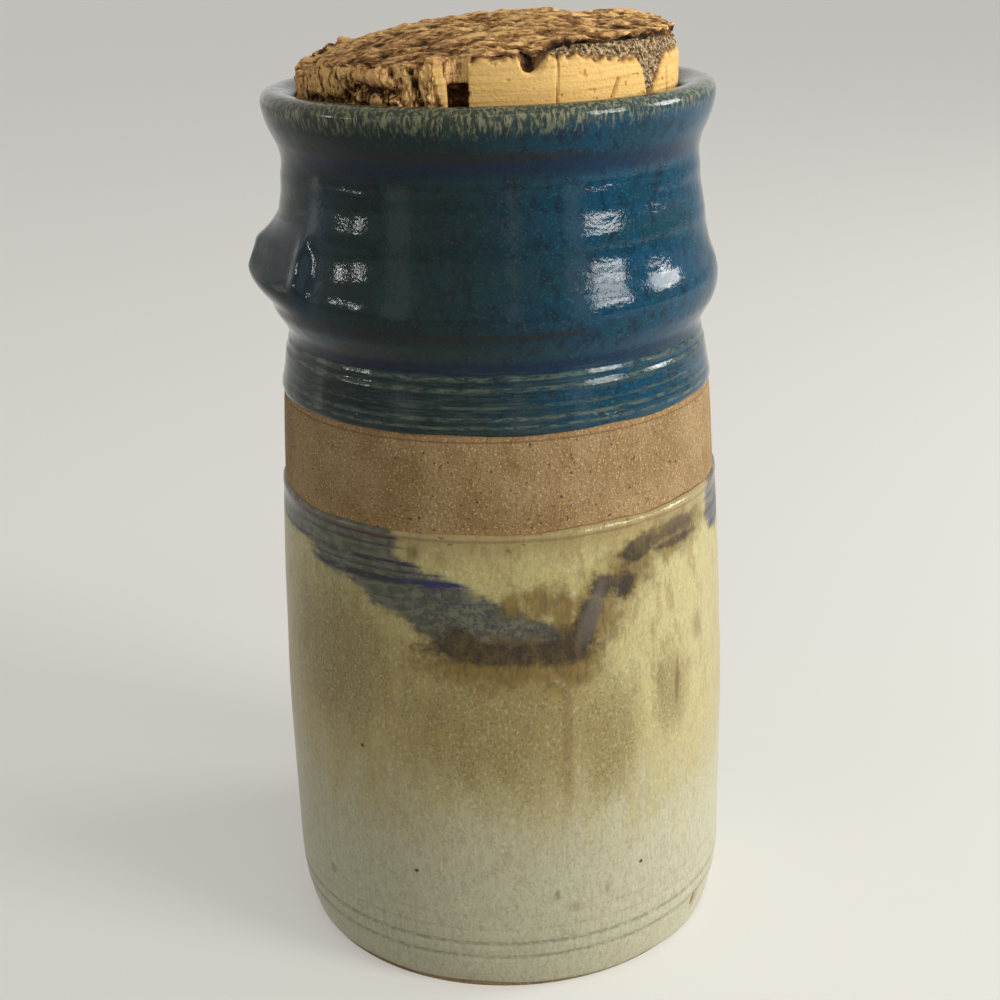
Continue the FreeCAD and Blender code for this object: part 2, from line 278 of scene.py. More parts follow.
class Finish:
    """A finish of the crock: its nodes, and where a point lies on the wall."""

    def __init__(self, name, roughness, **sockets):
        self.material = bpy.data.materials.new(name)
        self.material.use_nodes = True
        self.tree = self.material.node_tree
        self.shader = self.tree.nodes["Principled BSDF"]
        self.shader.inputs["Roughness"].default_value = roughness
        for socket, value in sockets.items():
            self.shader.inputs[socket.replace("_", " ")].default_value = value
        self.place = self.node("ShaderNodeTexCoord").outputs["Object"]
        parts = self.node("ShaderNodeSeparateXYZ", Vector=self.place).outputs
        self.height = self.value("DIVIDE", parts["Z"], MM)
        # millimetres round the wall from the front, + to the right
        self.round = self.times(self.value(
            "ARCTAN2", parts["X"], self.times(parts["Y"], -1)), WALL_RADIUS)
        self.wall = self.node("ShaderNodeCombineXYZ", X=self.round,
                              Y=self.height).outputs[0]

    def node(self, kind, **inputs):
        """New node, each named input linked to a socket or set to a value."""
        made = self.tree.nodes.new(kind)
        for socket, value in inputs.items():
            self.join(made.inputs[socket.replace("_", " ")], value)
        return made

    def join(self, socket, value):
        if isinstance(value, bpy.types.NodeSocket):
            self.tree.links.new(value, socket)
        else:
            socket.default_value = value

    def value(self, operation, a, b=0.0):
        made = self.tree.nodes.new("ShaderNodeMath")
        made.operation = operation
        self.join(made.inputs[0], a)
        self.join(made.inputs[1], b)
        return made.outputs[0]

    def times(self, a, b):
        return self.value("MULTIPLY", a, b)

    def most(self, *masks):
        """The strongest of some masks."""
        total = masks[0]
        for mask in masks[1:]:
            total = self.value("MAXIMUM", total, mask)
        return total

    def fade(self, value, start, end, low=0.0, high=1.0):
        """low at start and high at end, smoothly."""
        made = self.node("ShaderNodeMapRange", Value=value, From_Min=start,
                         From_Max=end, To_Min=low, To_Max=high)
        made.interpolation_type = "SMOOTHSTEP"
        return made.outputs[0]

    def ring(self, height, half):
        """1 on a line round the wall at a height, 0 half mm away from it."""
        off = self.value("ABSOLUTE", self.value(
            "SUBTRACT", self.height, height))
        return self.fade(off, half, half * 0.25)

    def grain(self, size, detail=3.0, stretch=(1, 1, 1), shift=0.0, rough=0.5):
        """Cloudy noise with features of about size mm, longer by stretch."""
        moved = self.node("ShaderNodeMapping", Vector=self.place,
                          Location=(shift, shift, shift),
                          Scale=tuple(1 / s for s in stretch)).outputs[0]
        made = self.node("ShaderNodeTexNoise", Vector=moved, Scale=1000 / size,
                         Detail=detail, Roughness=rough)
        return made.outputs["Fac"]

    def kept(self, name):
        """A number kept with the points of the mesh."""
        made = self.node("ShaderNodeAttribute")
        made.attribute_name = name
        return made.outputs["Fac"]

    def mark(self, name, edge, reach, soft=0.06):
        """1 inside a brushed mark, its edge broken up by a noise."""
        moved = self.value("ADD", self.kept(name), self.times(
            self.value("SUBTRACT", edge, 0.5), reach))
        return self.fade(moved, 0.5 - soft, 0.5 + soft)

    def wander(self, size, reach, stretch=(1, 1, 1)):
        """Places on the wall, each moved by up to about reach mm."""
        moved = self.node("ShaderNodeMapping", Vector=self.place,
                          Scale=tuple(1 / s for s in stretch)).outputs[0]
        made = self.node("ShaderNodeTexNoise", Vector=moved,
                         Scale=1000 / size, Detail=3.0)
        centred = self.tree.nodes.new("ShaderNodeVectorMath")
        centred.operation = "MULTIPLY_ADD"
        self.join(centred.inputs[0], made.outputs["Color"])
        centred.inputs[1].default_value = (4 * reach, 4 * reach, 0)
        centred.inputs[2].default_value = (-2 * reach, -2 * reach, 0)
        total = self.tree.nodes.new("ShaderNodeVectorMath")
        self.join(total.inputs[0], self.wall)
        self.join(total.inputs[1], centred.outputs[0])
        return total.outputs[0]

    def mix(self, amount, a, b):
        """Colour a with colour b laid over it by amount."""
        made = self.tree.nodes.new("ShaderNodeMix")
        made.data_type = "RGBA"
        self.join(made.inputs[0], amount)
        self.join(made.inputs[6], a)
        self.join(made.inputs[7], b)
        return made.outputs[2]

    def patch(self, across, up, width, height, turn=0.0, soft=0.5, on=None):
        """1 inside an oval on the wall, in mm, fading out at its edge."""
        made = self.node("ShaderNodeMapping", Vector=on or self.wall,
                         Location=(across, up, 0),
                         Rotation=(0, 0, math.radians(turn)),
                         Scale=(width, height, 1))
        made.vector_type = "TEXTURE"
        away = self.tree.nodes.new("ShaderNodeVectorMath")
        away.operation = "LENGTH"
        self.join(away.inputs[0], made.outputs[0])
        return self.fade(away.outputs["Value"], 1 + soft, 1 - soft)

    def relief(self, height, depth, over=None):
        """Fine bumps of the given depth in mm, on top of any others."""
        made = self.node("ShaderNodeBump", Height=height, Distance=depth * MM)
        if over is not None:
            self.join(made.inputs["Normal"], over)
        return made.outputs[0]

    def done(self, colour, normal=None, roughness=None):
        self.join(self.shader.inputs["Base Color"], colour)
        if normal is not None:
            self.join(self.shader.inputs["Normal"], normal)
        if roughness is not None:
            self.join(self.shader.inputs["Roughness"], roughness)
        return self.material


bare = Finish("bare_stoneware", 0.72, Specular_IOR_Level=0.22)
bare_colour = bare.mix(bare.fade(bare.grain(12.0, 4.0, shift=0.3), 0.35, 0.65),
                       (0.232, 0.146, 0.060, 1), (0.302, 0.204, 0.098, 1))
# the clay fires warmer where it is thin, beside the incised line and the glaze
bare_warm = bare.most(bare.ring(161.2, 1.1), bare.ring(137.0, 1.3))
bare_colour = bare.mix(bare.times(bare_warm, 0.35), bare_colour,
                       (0.36, 0.19, 0.075, 1))
bare_pale = bare.fade(bare.grain(0.5, 2.0, shift=0.7), 0.58, 0.66)
bare_colour = bare.mix(bare.times(bare_pale, 0.8), bare_colour,
                       (0.54, 0.39, 0.18, 1))
bare_brown = bare.fade(bare.grain(0.8, 3.0, shift=5.7), 0.52, 0.64)
bare_colour = bare.mix(bare.times(bare_brown, 0.45), bare_colour,
                       (0.150, 0.085, 0.034, 1))
bare_dark = bare.fade(bare.grain(1.1, 1.0, shift=1.9), 0.69, 0.73)
bare_colour = bare.mix(bare_dark, bare_colour, (0.09, 0.05, 0.03, 1))
# painted shade in the incised line under the upper glaze's edge
painted_groove_shade = bare.ring(160.5, 0.35)
bare_colour = bare.mix(bare.times(painted_groove_shade, 0.6), bare_colour,
                       (0.13, 0.07, 0.035, 1))
bare_relief = bare.relief(bare.grain(1.2, 3.0, (1, 1, 1.3), 2.7, 0.6), 0.45)
clay.data.materials.append(bare.done(bare_colour, bare_relief))
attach(clay, "root")
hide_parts("crock")

# ---------------------------------------------------------------- upper glaze
# A thick glossy blue-green coat that covers the shoulder, roll, lug, neck and
# rim, and goes down inside the mouth. It ends in a rounded edge on bare clay.
COAT = 0.65
UPPER_LINE = [
    (58.95, 162.0), (59.35, 162.2), (59.5, 162.9), (59.35, 164.2),
    (59.0, 166.0), (58.3, 169.5), (57.75, 172.5), (57.7, 173.2),
    (57.25, 173.9), (57.1, 175.4), (57.05, 176.0), (56.7, 176.7),
    (56.8, 178.5), (57.3, 180.2), (58.9, 183.0), (60.5, 186.0), (61.2, 190.5),
    (60.5, 195.0), (59.0, 199.0), (57.8, 204.0), (57.4, 208.6),
    (56.8, 212.6), (56.2, 216.2), (56.05, 219.5), (55.97, 220.8),
    (55.75, 222.2), (55.7, 225.0), (56.4, 228.0), (57.7, 231.0),
    (58.9, 234.0), (59.8, 237.3), (60.0, 239.3), (59.4, 241.0), (57.8, 241.9),
    (55.2, 241.9), (52.7, 241.3), (51.4, 240.1), (50.8, 238.0), (50.5, 234.0),
    (50.3, 230.0)]


def thicken(piece):
    """Give a glaze its thickness, inwards from its outer face."""
    shell = piece.modifiers.new("coat", "SOLIDIFY")
    shell.thickness, shell.offset = COAT * MM, -1
    bpy.ops.object.modifier_apply(modifier="coat")
    bpy.ops.object.shade_smooth()


upper = throw("upper_glaze", smooth_line(UPPER_LINE, 0.9))
face_out(upper)
bpy.ops.object.mode_set(mode="EDIT")
bpy.ops.mesh.select_all(action="DESELECT")
bpy.ops.object.mode_set(mode="OBJECT")
for vertex in upper.data.vertices:
    vertex.select = lug_stand(*(vertex.co / MM)) > 0.2
bpy.ops.object.mode_set(mode="EDIT")
bpy.ops.mesh.subdivide(number_cuts=1, quadcorner="INNERVERT")
bpy.ops.object.mode_set(mode="OBJECT")
press(upper, "lug", lug_stand, LUG_MOST)


def throwing_ridges(x, y, z):
    """Low uneven ridges that the potter's fingers leave round the wall."""
    if x * x + y * y < 54 ** 2:
        return 0.0
    here = noise.noise(Vector((x / 60, y / 60, z / 2.3)))
    wide = noise.noise(Vector((x / 90, y / 90, z / 6.0 + 40)))
    lumps = noise.noise(Vector((x / 7, y / 7, z / 5.0 + 9)))
    return 0.22 + 0.05 * here + 0.16 * wide + 0.07 * lumps


def upper_edge(x, y, z):
    """The glaze's lower edge wanders a little up and down."""
    return (1 - ease(z, 162.0, 165.0)) * (
        0.45 + 0.45 * noise.noise(Vector((x / 16, y / 16, 5.0))))


press(upper, "throwing_ridges", throwing_ridges, 0.6)
press(upper, "edge", upper_edge, 0.9, "Z")
thicken(upper)

dark = Finish("blue_green_glaze", 0.08, IOR=1.5, Specular_IOR_Level=0.2)
dark_wall = dark.wander(14, 5, (1, 1, 1.5))
# bluer on the right; it turns green again before the middle of the back
dark_back = dark.fade(dark.round, 185, 120)
dark_blue = dark.times(dark.fade(dark.round, -16, 38), dark_back)
dark_colour = dark.mix(dark_blue, (0.005, 0.018, 0.019, 1),
                       (0.000, 0.042, 0.086, 1))
dark_left = dark.most(dark.patch(-53, 202, 6, 16, on=dark_wall),
                      dark.patch(-52, 187, 14, 5, on=dark_wall))
dark_colour = dark.mix(dark.times(dark_left, 0.55), dark_colour,
                       (0.004, 0.035, 0.075, 1))
dark_cloud = dark.fade(dark.grain(9.0, 4.0, (1.6, 1.6, 1), 0.2), 0.42, 0.66)
dark_colour = dark.mix(dark.times(dark_cloud, 0.5), dark_colour,
                       (0.006, 0.032, 0.034, 1))
dark_ink = dark.fade(dark.grain(2.6, 4.0, (1, 1, 1.6), 3.9, 0.6), 0.48, 0.66)
dark_colour = dark.mix(dark.times(dark_ink, 0.75), dark_colour, dark.mix(
    dark_blue, (0.006, 0.010, 0.010, 1), (0.001, 0.012, 0.034, 1)))
dark_fleck = dark.fade(dark.grain(0.7, 3.0, shift=0.9), 0.56, 0.68)
dark_colour = dark.mix(dark.times(dark_fleck, 0.6), dark_colour, dark.mix(
    dark_blue, (0.022, 0.042, 0.036, 1), (0.008, 0.105, 0.150, 1)))
# navy and brown where it lies thick, under the rim and in the waist
dark_thick = dark.most(dark.ring(227.5, 3.6), dark.ring(178.6, 2.8))
dark_colour = dark.mix(dark.times(dark_thick, 0.6), dark_colour,
                       (0.003, 0.010, 0.040, 1))
dark_brown = dark.most(dark.ring(230.4, 2.0), dark.ring(187.6, 1.6))
dark_colour = dark.mix(dark.times(dark_brown, dark.fade(
    dark.times(dark.fade(dark.round, 14, 34), dark_back), 1, 0, 0, 0.6)),
    dark_colour, (0.016, 0.011, 0.012, 1))
# wiped thin in fine lines round the shoulder
dark_wiped = dark.times(dark.fade(dark.grain(
    0.8, 5.0, (13, 13, 1), 6.4, 0.65), 0.46, 0.66), dark.fade(
        dark.height, 180, 176))
dark_colour = dark.mix(dark.times(dark_wiped, 0.6), dark_colour,
                       (0.050, 0.066, 0.050, 1))
# the coat breaks thin and green over the edges of the throwing lines
dark_uneven = dark.fade(dark.grain(0.9, 5.0, (4, 4, 1), 0.4, 0.7), 0.38, 0.62)
dark_thin = dark.most(
    dark.ring(176.2, 0.9), dark.ring(173.5, 0.8), dark.ring(166.4, 0.7),
    dark.ring(164.3, 0.6), dark.times(dark.ring(169.3, 0.6), 0.6))
dark_colour = dark.mix(dark.times(dark.times(dark_thin, dark_uneven), 0.75),
                       dark_colour, (0.110, 0.135, 0.090, 1))
# and over the lip, where it runs down in fine flecks
dark_runs = dark.grain(0.9, 4.0, (1, 1, 3.5), 1.4, 0.65)
dark_lip = dark.fade(dark.value("ADD", dark.height, dark.value(
    "ADD", dark.times(dark_runs, 9), dark.times(
        dark.times(dark.fade(dark.round, 10, 50), dark_back), -1.6))),
    239.5, 245.5)
dark_colour = dark.mix(dark.times(dark_lip, 0.7), dark_colour,
                       (0.060, 0.068, 0.040, 1))
dark_colour = dark.mix(dark.times(dark_lip, dark.times(dark.fade(
    dark_runs, 0.46, 0.60), 0.9)), dark_colour, (0.230, 0.225, 0.125, 1))
dark_relief = dark.relief(dark.grain(2.2, 3.0, (1.8, 1.8, 1), 5.1), 0.09)
dark_relief = dark.relief(dark.grain(0.8, 3.0, shift=7.7), 0.035, dark_relief)
upper.data.materials.append(dark.done(
    dark_colour, dark_relief,
    dark.fade(dark.grain(1.2, 2.0, shift=7.0), 0.4, 0.8, 0.05, 0.20)))
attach(upper, "root")
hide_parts("crock")

# ---------------------------------------------------------------- lower glaze
# A satin celadon coat from the foot to the bare band, with blue slip and iron
# under its top. It ends in a bead, and lines are scratched round it low down.
LOWER_LINE = [
    (60.6, 0.25), (61.05, 0.5), (61.75, 3.0), (62.9, 8.3), (63.45, 11.1),
    (63.25, 11.8), (63.6, 12.5), (63.9, 15.7), (63.72, 16.4), (63.95, 17.1),
    (64.02, 20.4), (63.95, 21.0), (64.06, 21.6), (64.1, 30.0), (64.2, 50.0),
    (64.15, 72.0), (63.45, 92.0), (62.9, 108.0), (62.2, 122.0), (61.6, 131.5),
    (61.45, 133.4), (61.5, 134.2), (61.35, 135.2), (60.95, 135.7),
    (60.6, 135.8)]

lower = throw("lower_glaze", smooth_line(LOWER_LINE, 1.4))
face_out(lower)


def bead(x, y, z):
    """The top edge has run back into a fatter bead on the right."""
    along = bearing_of(x, y)
    fat = ease(along, 4, 14) * (1 - ease(along, 56, 70))
    return (ease(z, 132.6, 134.4) * (0.12 + 0.6 * fat)
            * (1 + 0.5 * noise.noise(Vector((x / 5, y / 5, 2.0)))))


def lower_edge(x, y, z):
    """Both edges wander a little up and down."""
    top = ease(z, 131, 134) * (
        0.5 + 0.6 * noise.noise(Vector((x / 20, y / 20, 8.0))))
    # it stops higher at the front left, where the clay of the foot shows
    foot = (1 - ease(z, 1.2, 6.0)) * (
        0.35 + 1.0 * math.cos(math.radians(bearing_of(x, y) + 24)) ** 3
        + 0.4 * noise.noise(Vector((x / 20, y / 20, 4.0))))
    return top + foot


press(lower, "bead", bead, 0.9)
press(lower, "edges", lower_edge, 2.2, "Z")


DENT_ROUND, DENT_HEIGHT, DENT_DEPTH = 61.5, 9.0, 0.9
CHIP_ROUND, CHIP_HEIGHT, CHIP_DEPTH = 66.5, 5.0, 0.35


def foot_chip(x, y, z):
    """A dent and a shallow chip near the foot on the right."""
    around = math.radians(bearing_of(x, y)) * WALL_RADIUS
    dent = math.hypot((around - DENT_ROUND) / 2.0, (z - DENT_HEIGHT) / 3.2)
    chip = math.hypot((around - CHIP_ROUND) / 4.5, (z - CHIP_HEIGHT) / 2.6)
    return (DENT_DEPTH * (1 - ease(dent, 0.3, 1.1))
            + CHIP_DEPTH * (1 - ease(chip, 0.5, 1.2)))


press(lower, "dents", lambda x, y, z: -foot_chip(x, y, z),
      -(DENT_DEPTH + CHIP_DEPTH))


def brush(piece, name, ovals):
    """Keep with each point how deep it lies in a mark: 0.5 at the edge.

    A mark is ovals (across, up, width, height, turn) that join, in mm.
    """
    whole = 2 * math.pi * WALL_RADIUS
    depths = []
    for vertex in piece.data.vertices:
        x, y, z = vertex.co / MM
        around = math.radians(bearing_of(x, y)) * WALL_RADIUS
        deepest = 0.0
        for across, up, width, height, turn in ovals:
            u = (around - across + whole / 2) % whole - whole / 2
            c, s = math.cos(math.radians(turn)), math.sin(math.radians(turn))
            away = math.hypot((u * c + (z - up) * s) / width,
                              ((z - up) * c - u * s) / height)
            deepest = max(deepest, 1 - away / 2)
        depths.append(deepest)
    kept = piece.data.attributes.new(name, "FLOAT", "POINT")
    kept.data.foreach_set("value", depths)


# cobalt slip, dipped over the left shoulder and brushed down to the front
brush(lower, "slip", [
    (-68, 132.5, 22, 6, 0), (-44, 130, 17, 9, 0), (-36, 134, 8, 4, 0),
    (-30, 122, 17, 8, -25), (-16, 116, 15, 8.5, -25), (-4, 112, 14, 7.5, -20),
    (9, 108, 11, 5, -12), (79, 130, 10, 9, 0), (-100, 132, 20, 9, 4),
    (98, 133, 22, 4, 0), (122, 130, 26, 7, 0), (146, 124, 20, 8, -22),
    (166, 116, 15, 8, -25), (182, 109, 13, 6, -15)])
# iron, where the slip stops and along the stroke that turns up to the right
brush(lower, "iron", [
    (-12, 107, 5.5, 5.0, 0), (-2, 104.4, 18, 3.4, -2), (16, 104.8, 8, 5.0, 8),
    (21.5, 111, 3.2, 8, -22), (26, 120, 4.0, 3.4, 20), (32, 119.5, 4, 3.6, 0),
    (37.5, 127.8, 6, 3.2, 15), (51, 130.2, 9.5, 2.0, 2),
    (52, 126.0, 10, 1.3, 0),
    # and the same again behind
    (172, 106.5, 7, 4.4, 0), (-183, 104.5, 17, 3.4, 2),
    (-163, 111, 3.2, 8, -22), (-158, 120, 4.4, 3.4, 20),
    (-146, 126.5, 9, 2.6, 15)])
brush(lower, "rust", [
    (-2, 101.5, 22, 6.5, -3), (18, 101, 8.5, 8, 0), (24, 112, 7.5, 11, -22),
    (35, 123, 9.5, 7.5, 20), (51, 128, 14.5, 5.5, 0), (15, 115, 3.2, 7.5, 6),
    (2, 118, 3, 3, 0), (-183, 101.5, 21, 6.5, 2), (-162, 112, 7.5, 11, -22),
    (-150, 124, 12, 6, 18),
    (-23, 131.5, 1.8, 2.2, 0), (9, 118, 6, 4, 0)])
brush(lower, "ochre", [
    (-2, 86, 25, 22, 0), (27, 77, 9, 17, 0), (48, 84, 6.5, 12, 0),
    (-50, 98, 19, 21, 0), (-150, 80, 28, 24, 0), (128, 84, 24, 20, 0)])
brush(lower, "clear", [
    (54, 94, 28, 32, 0), (44, 117, 22, 7, 0), (30, 100, 8, 20, 0)])

thicken(lower)

pale = Finish("celadon_glaze", 0.3, IOR=1.5, Specular_IOR_Level=0.3)
pale_flow = pale.grain(5.0, 5.0, (1, 1, 3), 0.6, 0.6)
pale_break = pale.grain(3.5, 5.0, (1.2, 1.2, 1), 2.6, 0.65)
# down the wall: cream at the top, ochre in the middle, grey-green at the foot
pale_colour = pale.mix(pale.fade(pale.height, 98, 122),
                       (0.400, 0.315, 0.125, 1), (0.440, 0.375, 0.155, 1))
pale_low = pale.fade(pale.value("ADD", pale.height, pale.times(
    pale_flow, 46)), 104, 56)
pale_colour = pale.mix(pale_low, pale_colour, (0.450, 0.435, 0.300, 1))
# clearer and paler on the right, deeper ochre down the middle
pale_colour = pale.mix(pale.times(pale.mark("clear", pale_flow, 0.7, 0.25),
                                  0.75), pale_colour, (0.47, 0.420, 0.20, 1))
pale_deep = pale.mark("ochre", pale_flow, 0.6, 0.28)
pale_colour = pale.mix(pale.times(pale_deep, 0.70), pale_colour,
                       (0.220, 0.164, 0.052, 1))
# fine runs and specks in the melted coat
pale_runs = pale.fade(pale.grain(1.2, 5.0, (1, 1, 3.2), 0.2, 0.65), 0.42, 0.66)
pale_colour = pale.mix(pale.times(pale_runs, 0.36), pale_colour,
                       (0.255, 0.225, 0.130, 1))
pale_stain = pale.times(pale.fade(pale.grain(
    4.5, 5.0, (1, 1, 2.6), 7.3, 0.65), 0.50, 0.66), pale.fade(
        pale.height, 62, 92))
pale_colour = pale.mix(pale.times(pale_stain, 0.5), pale_colour,
                       (0.245, 0.165, 0.052, 1))
pale_speck = pale.fade(pale.grain(0.65, 3.0, (1, 1, 1.3), 1.2), 0.52, 0.64)
pale_colour = pale.mix(pale.times(pale_speck, pale.fade(
    pale_deep, 0, 1, 0.22, 0.55)), pale_colour, (0.125, 0.105, 0.045, 1))
pale_light = pale.fade(pale.grain(0.8, 3.0, (1, 1, 1.5), 8.2), 0.54, 0.66)
pale_colour = pale.mix(pale.times(pale_light, 0.22), pale_colour,
                       (0.64, 0.63, 0.44, 1))
# the slip, speckled where it is thick, with brush lines of cobalt through it
pale_cobalt = pale.mark("slip", pale_break, 0.42, 0.09)
pale_colour = pale.mix(pale.times(pale_cobalt, 0.94), pale_colour, pale.mix(
    pale.fade(pale.grain(1.6, 4.0, (2.2, 2.2, 1), 4.0), 0.38, 0.62),
    (0.050, 0.053, 0.037, 1), (0.113, 0.114, 0.082, 1)))
pale_ink = pale.times(
    pale.fade(pale.grain(1.0, 3.0, shift=9.0), 0.50, 0.62), pale.times(
        pale.fade(pale.kept("slip"), 0.5, 0.72),
        pale.fade(pale.round, -34, -18)))
pale_colour = pale.mix(pale.times(pale_ink, 0.7), pale_colour,
                       (0.030, 0.034, 0.058, 1))
pale_dash = pale.times(pale.fade(pale.grain(
    1.3, 4.0, (5, 5, 1), 2.2, 0.65), 0.36, 0.50), pale.fade(
        pale.kept("slip"), 0.38, 0.52))
pale_lines = pale.most(*[
    pale.times(pale.ring(height, half), depth) for height, half, depth in (
        (134.4, 0.8, 0.95), (131.8, 0.5, 0.7), (127.6, 1.0, 1.0),
        (122.9, 1.7, 1.0), (125.4, 0.5, 0.7), (118.0, 0.4, 0.5))])
pale_colour = pale.mix(
    pale.times(pale_lines, pale_dash), pale_colour,
    pale.mix(pale.fade(pale.round, -36, -14), (0.016, 0.018, 0.022, 1),
             (0.020, 0.022, 0.085, 1)))
# iron breaks rusty at its edges and runs down a little
pale_colour = pale.mix(pale.times(
    pale.mark("rust", pale_break, 0.9, 0.28), 0.85), pale_colour,
    pale.mix(pale_runs, (0.172, 0.110, 0.023, 1), (0.086, 0.051, 0.013, 1)))
pale_colour = pale.mix(pale.times(
    pale.mark("iron", pale_break, 0.9, 0.20), 0.93), pale_colour, pale.mix(
        pale.fade(pale.grain(3.0, 4.0, (1, 1, 2), 6.0), 0.35, 0.65),
        (0.022, 0.016, 0.008, 1), (0.080, 0.050, 0.017, 1)))
pale_char = pale.times(pale.fade(pale.kept("iron"), 0.45, 0.62), pale.fade(
    pale.grain(0.8, 3.0, shift=2.9), 0.50, 0.60))
pale_colour = pale.mix(pale.times(pale_char, 0.6), pale_colour,
                       (0.016, 0.013, 0.010, 1))
pale_colour = pale.mix(
    pale.times(pale.patch(23, 113, 2.4, 8.5, -22), 0.5), pale_colour,
    (0.145, 0.125, 0.105, 1))
# stains, runs and pinholes, and painted shade in the dent near the foot
for across, up, width, height, turn, depth in (
        (15.5, 82, 1.4, 21, 0, 0.45), (50.5, 86, 0.8, 6.5, -4, 0.85),
        (61, 98, 2.4, 4.2, 10, 0.5), (44, 89, 1.3, 4, 0, 0.5),
        (36, 111, 0.9, 3.5, -12, 0.5), (16.5, 115, 0.9, 5, 0, 0.6),
        # painted shade in the dent on the right, near the foot
        (61.5, 9.2, 1.5, 2.4, 0, 0.5),
        (12, 31, 0.7, 1.6, 0, 0.6), (17, 26.5, 1.8, 1.6, 0, 0.4),
        (26, 30, 0.7, 2.2, 0, 0.35), (-56, 26.5, 1.2, 1.6, 0, 0.4)):
    pale_colour = pale.mix(pale.times(
        pale.patch(across, up, width, height, turn, 0.6), pale.fade(
            pale_break, 0.3, 0.6, depth * 0.5, depth)), pale_colour,
        (0.150, 0.085, 0.030, 1))
for across, up in ((-25.3, 37.6), (36.6, 34.8), (-40.3, 72.5)):
    pale_colour = pale.mix(pale.patch(across, up, 0.55, 0.55, soft=0.4),
                           pale_colour, (0.06, 0.035, 0.015, 1))
pale_drops = pale.times(
    pale.fade(pale.grain(2.4, 2.0, shift=11.0), 0.64, 0.69),
    pale.fade(pale.height, 128, 134))
pale_colour = pale.mix(pale.times(pale_drops, 0.85), pale_colour,
                       (0.06, 0.035, 0.015, 1))
# golden brown where it thins towards the bead, and the scratched lines
pale_top = pale.times(pale.fade(pale.value("ADD", pale.height, pale.times(
    pale_flow, 8)), 130, 140), pale.fade(pale.kept("slip"), 0.56, 0.40))
pale_colour = pale.mix(pale.times(pale_top, 0.5), pale_colour,
                       (0.250, 0.165, 0.062, 1))
pale_colour = pale.mix(pale.times(pale.ring(134.9, 0.7), 0.5), pale_colour,
                       (0.17, 0.095, 0.035, 1))
pale_scratch = pale.most(
    pale.ring(11.8, 0.95), pale.ring(16.4, 1.0),
    pale.times(pale.ring(21.0, 0.7), 0.35),
    pale.times(pale.ring(25.5, 0.7), 0.25))
pale_colour = pale.mix(pale.times(pale_scratch, pale.fade(pale.grain(
    0.9, 4.0, (2, 2, 1), 3.0), 0.38, 0.60, 0.2, 0.75)), pale_colour,
    (0.20, 0.200, 0.145, 1))
pale_relief = pale.relief(pale.grain(0.9, 4.0, (1, 1, 1.6), 5.1), 0.13)
lower.data.materials.append(pale.done(
    pale_colour, pale_relief,
    pale.fade(pale.height, 130, 134, 0.32, 0.09)))
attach(lower, "root")
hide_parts("crock")

# ---------------------------------------------------------------- cork stopper
# A thick round sawn from a slab of cork oak bark. The bark side is on top and
# runs down the left; the front and right are cut clean across the cork.
CORK_RADIUS, CORK_BASE, CORK_BLANK = 50.3, 238.5, 252.0
# the blank stands this much proud, for the bark to be worn from
ROUGH, BARK_UP = 1.2, 0.8
BLANK_GRID, FINE_GRID = 1.5, 0.52
# The crown rises steeply from its low left edge, runs almost level to
# CROWN_PEAK and drops a little to the right end
CROWN_LOW, CROWN_TOP, CROWN_DROP = 245.0, 258.7, 3.2
CROWN_LEFT, CROWN_PEAK, CROWN_RIGHT = -51, 36, 12.3
CROWN_REACH = 10.0
# Its edge lies at EDGE_LEVEL, dips on the left and lies higher at the front
# right, where the bark hangs over the clean cut
EDGE_LEVEL, EDGE_DIP, EDGE_FRONT, EDGE_BROW = 250.4, 5.0, 2.6, 3.0


def cork_crown(x, y):
    """Height of the bark before it is roughened."""
    left = min(1.0, max(0.0, (CROWN_PEAK - x) / (CROWN_PEAK - CROWN_LEFT)))
    middle = (CROWN_LOW + (CROWN_TOP - CROWN_LOW) * (1 - left ** 2.4) ** 0.5
              - CROWN_DROP * max(0.0, (x - CROWN_PEAK - 2) / CROWN_RIGHT) ** 2)
    bearing = bearing_of(x, y)
    edge = (EDGE_LEVEL - EDGE_DIP * (1 - ease(abs(bearing + 84), 0, 40))
            + EDGE_FRONT * ease(bearing, -28, 2)
            + EDGE_BROW * ease(bearing, 14, 26)
            - (EDGE_FRONT + EDGE_BROW) * ease(bearing, 105, 150))
    out = min(1.0, math.hypot(x, y) / CORK_RADIUS) ** 5
    return middle * (1 - out) + edge * out


bpy.ops.object.select_all(action="DESELECT")
bpy.ops.mesh.primitive_cylinder_add(
    vertices=160, radius=(CORK_RADIUS + 0.15) * MM,
    depth=(CORK_BLANK - CORK_BASE) * MM,
    location=(0, 0, (CORK_BLANK + CORK_BASE) / 2 * MM))
cork = bpy.context.object
cork.name = "cork_slab"
bpy.ops.object.transform_apply(location=True)
blank = cork.modifiers.new("blank", "REMESH")
blank.mode, blank.voxel_size = "VOXEL", BLANK_GRID * MM
bpy.ops.object.modifier_apply(modifier="blank")


def crown_share(x, y, z):
    """How far a point of the blank moves up or down, most at its top."""
    if z <= CORK_BASE:
        return 0.0
    return ((z - CORK_BASE) / (CORK_BLANK - CORK_BASE)
            * (cork_crown(x, y) + BARK_UP - CORK_BLANK))


press(cork, "raise_crown", lambda x, y, z: max(0, crown_share(x, y, z)),
      CROWN_REACH, "Z")
press(cork, "lower_left", lambda x, y, z: min(0, crown_share(x, y, z)),
      -CROWN_REACH, "Z")


# bearings between which the bark of the side ends and begins again
BARK_END, BARK_START, CORK_SIDE = (-14.5, -12.5), (171, 174), 49


def bark_side(x, y, z):
    """The left side, still bark, stands a little proud of the clean cut."""
    bearing = bearing_of(x, y)
    left = 1 - ease(bearing, *BARK_END) + ease(bearing, *BARK_START)
    return ROUGH * left if math.hypot(x, y) > CORK_SIDE else 0.0


press(cork, "bark_side", bark_side, 2.0)


